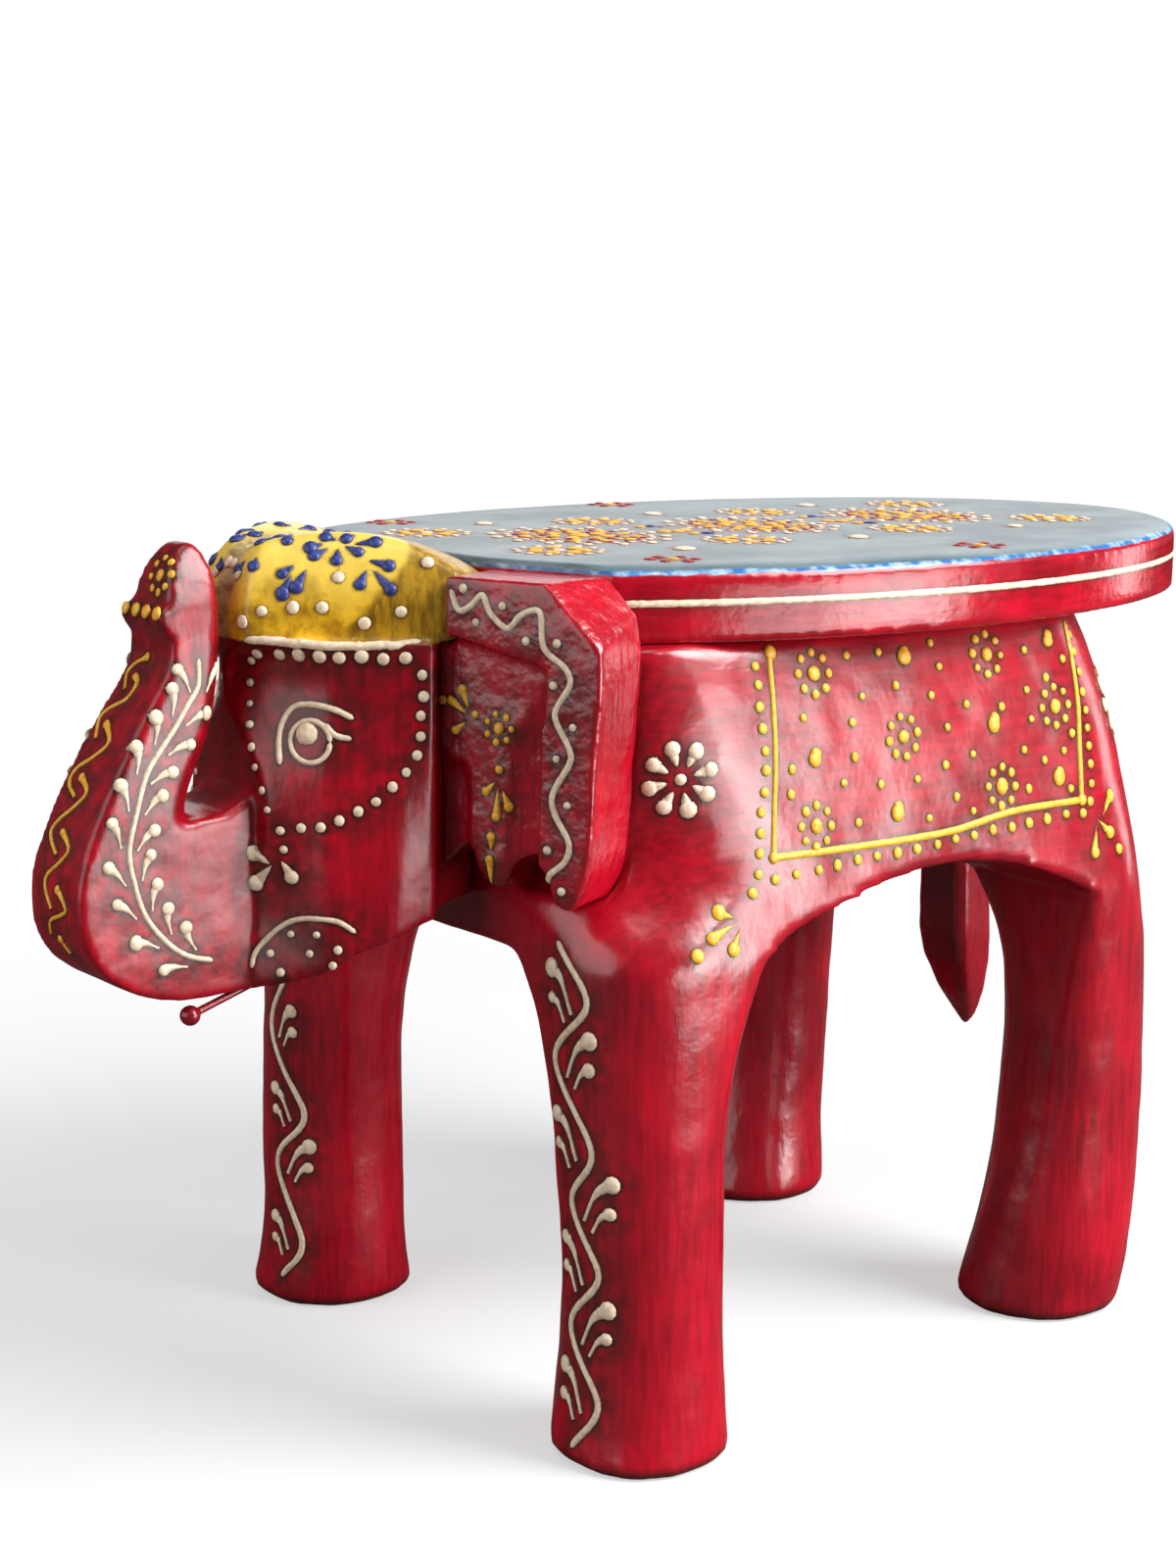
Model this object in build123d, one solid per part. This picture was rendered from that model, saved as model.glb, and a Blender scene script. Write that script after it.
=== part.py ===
"""Carved elephant stool: an oval seat board on a carved elephant, in painted mango wood.

The elephant faces -Y, its left side is +X and it stands on z = 0. The origin is under the
centre of the whole outline. All lengths are millimetres.

The body block is sawn through its sides and from front to back, which leaves four legs
under one saddle. The head block, with its crown and raised trunk, is doweled to the flat
chest. The ears are thick slabs let into the shoulders, the tail is let into the rump, a thin
ball-ended peg stands under the jaw, and the seat board is nailed down and filled.
"""
from build123d import *
import math
import os

# ---- driving dimensions -------------------------------------------------------------
OVERALL_LENGTH = 422.0
SEAT_LENGTH = 342.0
SEAT_WIDTH = 209.0
SEAT_THICKNESS = 22.0
SEAT_TOP = 257.0
SEAT_RIM_DROP = 3.0           # the top is worked down to its edge
SEAT_RIM_WIDTH = 8.0

CHEST_BOTTOM = 146.0          # height where the legs part from the body
BELLY_TOP = 162.6             # highest point of the saw cut through the sides
CROWN_BOTTOM = 235.5          # where the domed crown starts above the brow
FOOT_CHAMFER = 1.5

EAR_THICKNESS = 24.0
EAR_FLARE = 22.7              # degrees that an ear stands back from straight across
EAR_TOP = 254.0
EAR_BOTTOM = 163.0
EAR_HOLLOW = 5.5              # depth of the carved front of an ear inside its rim
EAR_TONGUE = 6.2              # how far the hollow runs on behind the cheek

TRUNK_HALF_TOP = 12.0
TRUNK_HALF_BOTTOM = 15.5
TRUNK_CHAMFER = 8.0          # on the edges that face the slot behind the trunk

DOWEL_RADIUS = 6.0
SMALL_DOWEL_RADIUS = 3.5
PEG_RADIUS = 1.1
PEG_BALL_RADIUS = 2.9
GLUE_GAP = 0.05               # radial room round every dowel, peg and nail
NAIL_RADIUS = 1.4
NAIL_HEAD_RADIUS = 3.2
NAIL_HEAD_THICKNESS = 1.2
NAIL_LENGTH = 45.0
PUTTY_DEPTH = 3.0

SEAT_BOTTOM = SEAT_TOP - SEAT_THICKNESS
SEAT_CENTRE = OVERALL_LENGTH / 2 - SEAT_LENGTH / 2
CHEST = -134.0                # flat chest, measured from the middle of the seat
CHEST_FACE = SEAT_CENTRE + CHEST


def along_body(distance):
    """Y of a point given by its distance behind the middle of the seat."""
    return SEAT_CENTRE + distance


def side_points(points):
    """Points of a side view, from distances behind the seat's middle and heights."""
    return [(along_body(distance), height) for distance, height in points]


def level_face(points, radii, height):
    """Level face from its corners and their radii."""
    return Pos(0, 0, height) * make_face(FilletPolyline(*points, radius=radii, close=True))


def rounded_section(x_in, x_out, y_front, y_rear, height, radii):
    """Level four-sided face, with the corner radii from inner front anticlockwise."""
    corners = [(x_in, y_front), (x_out, y_front), (x_out, y_rear), (x_in, y_rear)]
    return level_face(corners, radii, height)


def both_sides(shape):
    """A shape on the left side, with its mirror image on the right."""
    return [shape, mirror(shape, about=Plane.YZ)]


def rod(start, end, radius):
    """Round rod from one point to another."""
    axis = Vector(*end) - Vector(*start)
    base = Plane(origin=start, z_dir=axis)
    return extrude(base * Circle(radius), axis.length)


# ---- ears: sawn slabs with a raised rim and carved inner folds -------------------------
EAR_ROOT = (48.6, along_body(-155.2))
EAR_FORWARD = (math.sin(math.radians(EAR_FLARE)), -math.cos(math.radians(EAR_FLARE)))
EAR_LENGTHWISE = (math.cos(math.radians(EAR_FLARE)), math.sin(math.radians(EAR_FLARE)))


def ear_point(out, back):
    """Plan point on the left ear, out along its length and back from its front face."""
    x = EAR_ROOT[0] + EAR_LENGTHWISE[0] * out - EAR_FORWARD[0] * back
    y = EAR_ROOT[1] + EAR_LENGTHWISE[1] * out - EAR_FORWARD[1] * back
    return x, y


def ear_plane(back=0.0):
    """Upright plane of the left ear: x runs out along the ear and y runs up."""
    return Plane(origin=(*ear_point(0, back), 0), x_dir=(*EAR_LENGTHWISE, 0), z_dir=(*EAR_FORWARD, 0))


def ear_outer_edge():
    """Free edge of the ear, from its top corner down to its heel."""
    return Spline((44.5, EAR_TOP), (48.3, 233), (46.3, 200), (44.5, 176), (40.5, EAR_BOTTOM + 2))


def ear_outline():
    """Outline of the ear, with the gap between its rim and inner fold at the bottom."""
    heel = Spline((40.5, EAR_BOTTOM + 2), (36.5, EAR_BOTTOM + 1.8), (33.0, 170))
    gap = Spline((33.0, 170), (29.5, 175.5), (22.0, 176.5), (16.8, 172))
    fold = Spline((16.8, 172), (13.5, 167), (9.5, 169), (5.5, 177))
    rest = Polyline((5.5, 177), (2.5, 178.5), (-EAR_TONGUE, 171), (-EAR_TONGUE, CROWN_BOTTOM),
                    (0, CROWN_BOTTOM), (0, EAR_TOP), (44.5, EAR_TOP))
    return make_face(ear_outer_edge() + heel + gap + fold + rest)


def ear_seating():
    """The space that the left ear takes in its neighbours, with the bottom gap filled."""
    rest = Polyline((40.5, EAR_BOTTOM + 2), (36, EAR_BOTTOM), (10, EAR_BOTTOM + 3), (0, 173.8),
                    (0, 300), (44.5, 300), (44.5, EAR_TOP))
    tongue = Polyline((1, 174.6), (-EAR_TONGUE, 171), (-EAR_TONGUE, CROWN_BOTTOM), (1, CROWN_BOTTOM),
                      close=True)
    room = extrude(ear_plane() * make_face(ear_outer_edge() + rest), -EAR_THICKNESS)
    return room + extrude(ear_plane(EAR_HOLLOW) * make_face(tongue), EAR_HOLLOW - EAR_THICKNESS)


def build_left_ear():
    slab = extrude(ear_plane() * ear_outline(), -EAR_THICKNESS)
    hollow = make_face(Polyline((-9, 239.5), (31.5, 230.5), (29.5, 205), (28.5, 150), (-9, 150), close=True))
    root = make_face(Polyline((-9, 150), (3.6, 150), (3.6, 198), (2.6, 201), (-9, 203.5), close=True))
    ear = slab - extrude(ear_plane() * hollow, -EAR_HOLLOW)
    ear = ear - extrude(ear_plane() * root, -EAR_HOLLOW - 2.2)
    return ear - ear_groove() - ear_corner_cut()


def ear_groove():
    """Wedge cut out beside the rim, deepest against it and widest at the bottom of the ear."""
    rows = [(150, 13.0, 28.4, 4.5), (190, 14.5, 29.1, 4.5), (208, 17.0, 29.6, 4.0), (229, 29.5, 31.2, 0.4)]
    level = EAR_HOLLOW - 0.1
    return loft([
        Pos(0, 0, height) * make_face(Polyline(ear_point(start, level), ear_point(rim, level),
                                               ear_point(rim, level + depth), close=True))
        for height, start, rim, depth in rows
    ], ruled=True)


def ear_corner_cut():
    """Block that takes the top outer corner off the ear."""
    on_top = Vector(*ear_point(30.5, 0), EAR_TOP)
    on_edge = Vector(*ear_point(43.5, 0), 241)
    behind = Vector(*ear_point(37.5, EAR_THICKNESS), EAR_TOP)
    outwards = (on_edge - on_top).cross(behind - on_top)
    if outwards.Z < 0:
        outwards = outwards * -1
    block = Box(60, 60, 30, align=(Align.CENTER, Align.CENTER, Align.MIN))
    return Plane(origin=on_edge, z_dir=outwards) * block


# ---- body block: saddle hull, saw cuts and four legs -----------------------------------
def build_torso():
    rows = [  # height, half width, rear, front corners, rear corners
        (CHEST_BOTTOM, 103.0, 98.7, 27.0, 32.0),
        (158.0, 101.0, 99.3, 40.0, 35.0),
        (170.0, 99.0, 99.3, 57.0, 38.0),
        (200.0, 95.0, 95.1, 50.0, 42.0),
        (222.0, 91.0, 88.9, 42.0, 44.0),
        (SEAT_BOTTOM, 87.0, 84.4, 34.0, 44.0),
    ]
    hull = loft([
        rounded_section(-half, half, CHEST_FACE, along_body(rear), height, [front, front, back, back])
        for height, half, rear, front, back in rows
    ])
    belly = Spline(*side_points([(-80, CHEST_BOTTOM), (-65, 153), (-47, 157.6), (-22, 162), (0, BELLY_TOP),
                                 (22, 159.6), (43, 153), (58, CHEST_BOTTOM)]))
    below = Polyline(*side_points([(58, CHEST_BOTTOM), (58, 130), (-80, 130), (-80, CHEST_BOTTOM)]))
    return hull - extrude(Plane.YZ * make_face(belly + below), 130, both=True)


FRONT_LEG = [  # height, inner and outer x, front and rear set back from the chest, corners
    (FOOT_CHAMFER, 56.0, 107.0, -0.8, 49.6, [23.5, 23, 22.5, 21]),
    (30.0, 57.6, 105.0, 1.8, 47.6, [22, 24.3, 20.6, 21]),
    (75.0, 58.2, 104.4, 2.0, 46.6, [20, 24, 19.8, 18.5]),
    (106.0, 55.5, 104.2, 1.5, 47.6, [17.5, 26.5, 18, 20]),
    (139.0, 50.5, 103.2, 0.0, 52.4, [11, 27.5, 8, 12]),
    (CHEST_BOTTOM, 48.5, 103.0, 0.0, 54.0, [7, 27, 4.5, 7]),
]

HIND_LEG = [  # height, inner and outer x, front and rear from the seat's middle, corners
    (FOOT_CHAMFER, 45.4, 98.4, 46.2, 99.4, [26, 26, 26, 25]),
    (14.0, 47.6, 99.6, 48.0, 100.6, [26, 25, 25, 24]),
    (38.0, 50.8, 100.6, 51.4, 102.0, [27.5, 22, 24, 22]),
    (70.0, 52.0, 100.2, 55.4, 103.8, [27.5, 19, 25, 20]),
    (102.0, 51.6, 100.6, 57.2, 104.2, [27, 15, 27, 18]),
    (125.0, 50.2, 101.6, 57.6, 102.6, [21, 10, 29, 14]),
    (139.0, 48.0, 102.6, 57.4, 100.0, [11, 7, 31, 10]),
    (CHEST_BOTTOM, 45.5, 103.0, 57.8, 98.7, [6, 4.5, 32, 8]),
]


def build_leg(rows, y_origin):
    """Left leg on a short sole with worn edges."""
    sections = [
        rounded_section(x0, x1, y_origin + y0, y_origin + y1, height, radii)
        for height, x0, x1, y0, y1, radii in rows
    ]
    _, x0, x1, y0, y1, radii = rows[0]
    worn = FOOT_CHAMFER
    sole = rounded_section(x0 + worn, x1 - worn, y_origin + y0 + worn, y_origin + y1 - worn, 0,
                           [radius - worn for radius in radii])
    return loft(sections) + loft([sole, sections[0]], ruled=True)


def build_body():
    body = build_torso()
    for leg in (build_leg(FRONT_LEG, CHEST_FACE), build_leg(HIND_LEG, SEAT_CENTRE)):
        for piece in both_sides(leg):
            body = body + piece
    return body


# ---- head block: skull, jaw, crown and raised trunk ------------------------------------
BROW = (12.5, -197.5)         # ridge of the brow under the crown, from the seat's middle
CHEEK_END = (47.2, -157.8)    # rear edge of the cheek, in front of the ear


def skull_section(height, brow, cheek_front, cheek_side, behind_cheek):
    """Level section of the head, from its brow round both cheeks to the chest."""
    left = [(x, along_body(y)) for x, y in (brow, cheek_front, cheek_side)] + behind_cheek
    right = [(-x, y) for x, y in reversed(left)]
    radii = [3, 14, 12] + [0.6] * len(behind_cheek)
    return level_face(left + right, radii + radii[::-1], height)


def cheek_section(height, brow, cheek_front, cheek_side):
    """Section below the crown, cut back behind the cheek for the hollow of the ear."""
    hollow_end = ear_point(-EAR_TONGUE, EAR_HOLLOW)
    back_end = ear_point(-EAR_TONGUE, EAR_THICKNESS + 1.6)
    behind = [(CHEEK_END[0], along_body(CHEEK_END[1])), hollow_end, (back_end[0], CHEST_FACE)]
    return skull_section(height, brow, cheek_front, cheek_side, behind)


def build_skull():
    skull = loft([
        cheek_section(130, (14, -198), (33, -186.5), (44.5, -172)),
        cheek_section(150, (15, -198), (34.5, -186), (46, -171.5)),
        cheek_section(172, (16.5, -196.5), (34, -185.5), (46, -170.5)),
        cheek_section(190, (20.5, -196), (33, -184.5), (44.5, -168.5)),
        cheek_section(208, (10.5, -196.5), (30.5, -182.5), (42.5, -167)),
        cheek_section(CROWN_BOTTOM, BROW, (29.5, -183.5), (41.5, -167)),
    ])
    jaw = Spline(*side_points([(-215, 133), (-199, 137), (-190, 140.6), (-178, 149), (-158, 157),
                               (-132, 159)]))
    below = Polyline(*side_points([(-132, 159), (-132, 120), (-215, 120), (-215, 133)]))
    return skull - extrude(Plane.YZ * make_face(jaw + below), 60, both=True)


def rolled_block(forward, reach):
    """Block that ends in a rounded brow at a reach from the seat's middle, in one direction."""
    side = Polyline((-20, 280), (-20, 200), (reach, 200), (reach, CROWN_BOTTOM + 9))
    brow = ThreePointArc((reach, CROWN_BOTTOM + 9), (reach - 3.6, CROWN_BOTTOM + 20), (reach - 12, 265))
    top = Polyline((reach - 12, 265), (reach - 40, 280), (-20, 280))
    plane = Plane(origin=(0, SEAT_CENTRE, 0), x_dir=(*forward, 0), z_dir=(forward[1], -forward[0], 0))
    return extrude(plane * make_face(side + brow + top), 220, both=True)


def build_crown():
    """Two lobes that meet in a shallow groove, cut to the outline of the skull."""
    behind_cheek = [EAR_ROOT, (39.73, CHEST_FACE)]
    block = extrude(skull_section(CROWN_BOTTOM, BROW, (29.5, -183.5), (41.5, -167), behind_cheek), 40)
    ball = scale(Sphere(1), by=(50, 63, 42.6))
    lobe = Pos(20, along_body(-173), 222) * ball
    left, right = both_sides(lobe)
    crown = block & (left + right)
    for forward in ((0, -1), (0.786, -0.619), (-0.786, -0.619)):
        reach = BROW[0] * abs(forward[0]) - BROW[1] * abs(forward[1])
        crown = crown & rolled_block(forward, reach)
    return crown


def build_trunk():
    """Flat-sided trunk, curled up in front of the face with an open slot between them."""
    tip = Spline(*side_points([(-206, 259.5), (-210.5, 262.7), (-216.5, 257), (-218.8, 247.5)]))
    lip = Polyline(*side_points([(-218.8, 247.5), (-223, 244.5), (-223, 241.5), (-219.8, 237)]))
    front = Spline(*side_points([(-219.8, 237), (-219.6, 232), (-226.5, 219.5), (-234, 208), (-243, 192),
                                 (-249.3, 177), (-251, 167), (-249, 155), (-238, 143), (-222, 137.4),
                                 (-207, 137)]))
    chin = Polyline(*side_points([(-207, 137), (-188.5, 137), (-188.5, 198), (-197, 192), (-205, 188),
                                  (-214.5, 187)]))
    rear = Spline(*side_points([(-214.5, 187), (-212, 197), (-207, 208), (-203.6, 222), (-202.4, 238),
                                (-203.4, 251), (-206, 259.5)]))
    outline = make_face(tip + lip + front + chin + rear)
    slab = extrude(Plane.YZ * outline, TRUNK_HALF_BOTTOM, both=True)
    slot_edges = [edge for edge in slab.edges() if abs(edge.center().X) > TRUNK_HALF_BOTTOM - 0.1
                  and edge.center().Y > along_body(-214) and edge.center().Z > 190 and edge.length > 40]
    slab = chamfer(slot_edges, TRUNK_CHAMFER)
    half = [(TRUNK_HALF_BOTTOM, 130), (TRUNK_HALF_BOTTOM, 150), (TRUNK_HALF_TOP, 238), (10.8, 246), (8, 255),
            (4, 263.5)]
    profile = make_face(Polyline(*half, *[(-x, z) for x, z in reversed(half)], close=True))
    return slab & (Pos(0, along_body(-300), 0) * extrude(Plane.XZ * profile, -300))


def build_head():
    return build_skull() + build_crown() + build_trunk()


# ---- seat board, tail, peg and hidden fastenings -------------------------------------
def build_seat():
    rows = [(SEAT_BOTTOM, 0), (SEAT_TOP - SEAT_RIM_DROP, 0), (SEAT_TOP - 1.1, 2.2),
            (SEAT_TOP, SEAT_RIM_WIDTH)]
    board = loft([
        Pos(0, SEAT_CENTRE, height) * Ellipse(SEAT_WIDTH / 2 - inset, SEAT_LENGTH / 2 - inset)
        for height, inset in rows
    ], ruled=True)
    inner = (CHEST_FACE - ear_point(0, EAR_THICKNESS)[1]) / EAR_LENGTHWISE[1]
    corner = ear_point(inner, EAR_THICKNESS)
    tip = ear_point(80, EAR_THICKNESS)
    front = Polyline(corner, tip, (tip[0], -300), (-tip[0], -300), (-tip[0], tip[1]),
                     (-corner[0], corner[1]), close=True)
    return board - Pos(0, 0, SEAT_BOTTOM - 5) * extrude(make_face(front), 40)


def tail_section(height, front, rear, half):
    """Eight-sided section of the tail."""
    cut = 0.7
    middle = (front + rear) / 2
    reach = (rear - front) / 2
    points = [(half, -cut * reach), (half, cut * reach), (cut * half, reach), (-cut * half, reach),
              (-half, cut * reach), (-half, -cut * reach), (-cut * half, -reach), (cut * half, -reach)]
    corners = [(x, along_body(middle + y)) for x, y in points]
    return Pos(0, 0, height) * make_face(Polyline(*corners, close=True))


def build_tail():
    rows = [  # height, front and rear behind the seat's middle, half width
        (212, 86.0, 100.0, 8.0),
        (190, 89.0, 106.0, 9.5),
        (160, 92.0, 109.5, 10.5),
        (132, 94.0, 111.0, 11.0),
        (108, 94.5, 112.5, 11.5),
        (98, 96.5, 113.5, 10.5),
        (86, 102.0, 114.0, 7.5),
        (76, 108.0, 113.5, 3.5),
        (72, 110.0, 112.0, 1.2),
    ]
    return loft([tail_section(*row) for row in rows], ruled=True)


PEG_BALL = (12.0, along_body(-216.4), 131.7)
PEG_ROOT = (12.0, along_body(-189.5), 139.8)
NECK_DOWELS = [(20.0, 198.0), (-20.0, 198.0)]
EAR_DOWELS = [(26.0, 212.0), (24.0, 186.0)]      # out along the ear and height
SEAT_NAILS = [(58.0, -78.0), (62.0, 0.0), (52.0, 62.0)]  # x and distance behind the middle


def build_jaw_peg():
    return rod(PEG_ROOT, PEG_BALL, PEG_RADIUS) + Pos(*PEG_BALL) * Sphere(PEG_BALL_RADIUS)


def neck_dowels(extra_radius=0.0, extra_length=0.0):
    half = 19.0 + extra_length
    return [rod((x, CHEST_FACE - half, z), (x, CHEST_FACE + half, z), DOWEL_RADIUS + extra_radius)
            for x, z in NECK_DOWELS]


def ear_dowels(extra_radius=0.0, extra_length=0.0):
    dowels = []
    for out, height in EAR_DOWELS:
        start = (*ear_point(out, EAR_THICKNESS - 9 - extra_length), height)
        end = (*ear_point(out, EAR_THICKNESS + 13 + extra_length), height)
        dowels += both_sides(rod(start, end, SMALL_DOWEL_RADIUS + extra_radius))
    return dowels


def tail_dowel(extra_radius=0.0, extra_length=0.0):
    return rod((0, along_body(72 - extra_length), 178), (0, along_body(100 + extra_length), 178),
               SMALL_DOWEL_RADIUS + extra_radius)


def seat_nail_places():
    return [(side * x, along_body(y)) for x, y in SEAT_NAILS for side in (1, -1)]


def seat_nail(x, y):
    top = SEAT_TOP - PUTTY_DEPTH
    shank = rod((x, y, top), (x, y, top - NAIL_LENGTH + 4), NAIL_RADIUS)
    point = Pos(x, y, top - NAIL_LENGTH + 2) * Cone(0.2, NAIL_RADIUS, 4)
    head = rod((x, y, top), (x, y, top - NAIL_HEAD_THICKNESS), NAIL_HEAD_RADIUS)
    return shank + point + head


def seat_nail_hole(x, y):
    end = SEAT_TOP - PUTTY_DEPTH - NAIL_LENGTH - 1
    shank = rod((x, y, SEAT_TOP + 1), (x, y, end), NAIL_RADIUS + GLUE_GAP)
    sink = rod((x, y, SEAT_TOP + 1), (x, y, SEAT_TOP - PUTTY_DEPTH - NAIL_HEAD_THICKNESS),
               NAIL_HEAD_RADIUS + GLUE_GAP)
    return shank + sink


def putty_plug(x, y):
    return rod((x, y, SEAT_TOP), (x, y, SEAT_TOP - PUTTY_DEPTH), NAIL_HEAD_RADIUS + GLUE_GAP)


# ---- assemble --------------------------------------------------------------------------
def build_all():
    body, head, seat = build_body(), build_head(), build_seat()
    left_ear, tail = build_left_ear(), build_tail()
    places = seat_nail_places()

    for room in both_sides(ear_seating()):
        body = body - room
        head = head - room
    body = body - tail
    for hole in neck_dowels(GLUE_GAP, 1.0):
        body = body - hole
        head = head - hole
    head = head - rod(PEG_ROOT, PEG_BALL, PEG_RADIUS + GLUE_GAP)
    for hole in ear_dowels(GLUE_GAP, 1.0):
        body = body - hole
        left_ear = left_ear - hole
    body = body - tail_dowel(GLUE_GAP, 1.0)
    tail = tail - tail_dowel(GLUE_GAP, 1.0)
    for x, y in places:
        body = body - seat_nail_hole(x, y)
        seat = seat - seat_nail_hole(x, y)

    return {
        "body_block": body,
        "head_block": head,
        "left_ear": left_ear,
        "right_ear": mirror(left_ear, about=Plane.YZ),
        "seat_board": seat,
        "tail": tail,
        "jaw_peg": build_jaw_peg(),
        "neck_dowels": Compound(neck_dowels()),
        "ear_dowels": Compound(ear_dowels()),
        "tail_dowel": tail_dowel(),
        "seat_nails": Compound([seat_nail(x, y) for x, y in places]),
        "seat_putty": Compound([putty_plug(x, y) for x, y in places]),
    }


if __name__ == "__main__":
    os.makedirs("parts", exist_ok=True)
    for name, piece in build_all().items():
        print(name, round(piece.volume), len(piece.solids()), len(piece.faces()), piece.is_valid)
        export_step(piece, f"parts/{name}.step")
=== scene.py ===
import bpy
import math
import random
from mathutils import Matrix, Vector
from mathutils.bvhtree import BVHTree
from mathutils.kdtree import KDTree


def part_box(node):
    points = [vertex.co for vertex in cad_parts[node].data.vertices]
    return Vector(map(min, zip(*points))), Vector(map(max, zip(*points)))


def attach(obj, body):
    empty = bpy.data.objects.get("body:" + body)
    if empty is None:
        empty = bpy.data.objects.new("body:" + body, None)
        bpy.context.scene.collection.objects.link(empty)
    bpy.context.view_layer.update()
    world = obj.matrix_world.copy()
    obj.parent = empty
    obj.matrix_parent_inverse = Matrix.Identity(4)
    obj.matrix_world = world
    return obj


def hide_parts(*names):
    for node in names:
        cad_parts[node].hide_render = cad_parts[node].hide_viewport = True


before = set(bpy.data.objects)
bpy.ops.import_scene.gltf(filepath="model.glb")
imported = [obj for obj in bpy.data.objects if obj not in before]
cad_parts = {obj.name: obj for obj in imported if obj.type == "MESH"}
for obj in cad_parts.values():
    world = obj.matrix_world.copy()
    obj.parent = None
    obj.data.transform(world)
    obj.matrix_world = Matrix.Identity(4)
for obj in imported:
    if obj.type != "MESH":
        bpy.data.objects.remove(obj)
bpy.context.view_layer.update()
print("frame loaded:", ", ".join(sorted(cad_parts)))

mm = 0.001
seatMiddle = Vector((0, 40, 0)) * mm     # patterns are measured from under the middle of the seat
random.seed(11)


def pickOnly(*pieces):
    bpy.ops.object.select_all(action="DESELECT")
    for piece in pieces:
        piece.select_set(True)
    bpy.context.view_layer.objects.active = pieces[0]


def applyModifier(piece, kind, **settings):
    pickOnly(piece)
    modifier = piece.modifiers.new(kind.lower(), kind)
    for name, value in settings.items():
        setattr(modifier, name, value)
    bpy.ops.object.modifier_apply(modifier=modifier.name)


# coats: each wooden piece with rounded, slightly uneven edges under its paint
coatSettings = {
    "bodyCoat": {"nodes": ["body_block"], "grain": 1.8, "softening": 12, "unevenness": 1.1, "lumpSize": 26},
    "headCoat": {"nodes": ["head_block"], "grain": 1.1, "softening": 9, "unevenness": 0.5, "lumpSize": 16},
    "leftEarCoat": {"nodes": ["left_ear"], "grain": 0.9, "softening": 12, "unevenness": 0.8, "lumpSize": 14},
    "rightEarCoat": {"nodes": ["right_ear"], "grain": 0.9, "softening": 12, "unevenness": 0.8, "lumpSize": 14},
    "seatCoat": {"nodes": ["seat_board", "seat_putty"], "grain": 1.5, "softening": 6, "unevenness": 0.4,
                 "lumpSize": 40, "slot": "blue_lacquer"},
    "tailCoat": {"nodes": ["tail"], "grain": 1.0, "softening": 8, "unevenness": 0.6, "lumpSize": 12},
    "pegCoat": {"nodes": ["jaw_peg"], "grain": 0.35, "softening": 2, "unevenness": 0.1, "lumpSize": 4},
}


def copyOfNodes(name, nodes):
    copies = []
    for node in nodes:
        copy = bpy.data.objects.new(name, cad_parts[node].data.copy())
        bpy.context.scene.collection.objects.link(copy)
        copies.append(copy)
    pickOnly(*copies)
    if len(copies) > 1:
        bpy.ops.object.join()
    bpy.ops.object.mode_set(mode="EDIT")
    bpy.ops.mesh.select_all(action="SELECT")
    bpy.ops.mesh.remove_doubles(threshold=0.005 * mm)
    bpy.ops.object.mode_set(mode="OBJECT")
    copies[0].data.materials.clear()
    return copies[0]


def keepInside(coat, nodes):
    corners = [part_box(node) for node in nodes]
    low = [min(corner[0][axis] for corner in corners) for axis in range(3)]
    high = [max(corner[1][axis] for corner in corners) for axis in range(3)]
    for vertex in coat.data.vertices:
        for axis in range(3):
            vertex.co[axis] = min(max(vertex.co[axis], low[axis]), high[axis])


def makeCoat(name, settings):
    coat = copyOfNodes(name, settings["nodes"])
    applyModifier(coat, "REMESH", mode="VOXEL", voxel_size=settings["grain"] * mm)
    applyModifier(coat, "SMOOTH", factor=0.5, iterations=settings["softening"])
    lumps = bpy.data.textures.new(name + "Lumps", "CLOUDS")
    lumps.noise_scale = settings["lumpSize"] * mm
    applyModifier(coat, "DISPLACE", texture=lumps, strength=settings["unevenness"] * mm, mid_level=0.5)
    keepInside(coat, settings["nodes"])
    pickOnly(coat)
    bpy.ops.object.shade_smooth()
    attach(coat, "root")
    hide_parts(*settings["nodes"])
    settings.get("slot", "red_lacquer")
    print(name, "has", len(coat.data.polygons), "faces")
    return coat


coats = {name: makeCoat(name, settings) for name, settings in coatSettings.items()}
surfaces = {
    name: BVHTree.FromPolygons([vertex.co for vertex in coat.data.vertices],
                               [face.vertices for face in coat.data.polygons])
    for name, coat in coats.items()
}


# raised paint: beads and strokes laid on the coats from a sheet held in front of them
marks = {}     # the beads and strokes of each coat and colour
handSettings = {     # how unevenly a hand lays the paint
    "beadSizes": (0.88, 1.1), "beadWidths": (0.92, 1.1), "lineWidths": (0.93, 1.05), "dotNudge": 0.35,
}
lineSettings = {
    "step": 0.8, "dropStep": 0.5, "dotStep": 0.4,     # mm between the points of a path
    "end": 0.35,     # how wide a line starts, against its full width
    "head": 0.8, "neck": 0.98,     # a drop's: middle of its head and width of its neck, in half widths
    "petal": 0.6,     # how a petal thins out
}
sheetDistance = 0.5     # in metres, rays start this far out


class Stencil:
    # turn 0 faces the front of the elephant and 90 its left side; side -1 is the mirror image
    def __init__(self, coat, turn, lift=0, side=1, start=(0, 0, 0)):
        turn, lift = math.radians(turn), math.radians(lift)
        self.out = Vector((math.sin(turn) * math.cos(lift), -math.cos(turn) * math.cos(lift), math.sin(lift)))
        self.across = Vector((math.cos(turn), math.sin(turn), 0))
        self.up = self.out.cross(self.across)
        self.start = seatMiddle + Vector(start) * mm
        self.coat, self.side = coat, side

    def touch(self, point):
        origin = self.start + (self.across * point[0] + self.up * point[1]) * mm + self.out * sheetDistance
        direction = -self.out
        if self.side < 0:
            origin, direction = origin * Vector((-1, 1, 1)), direction * Vector((-1, 1, 1))
        spot, normal, _, _ = surfaces[self.coat].ray_cast(origin, direction)
        return (spot, normal) if spot else None


def marksOf(coat, colour):
    return marks.setdefault((coat, colour), {"beads": [], "strokes": []})


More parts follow.
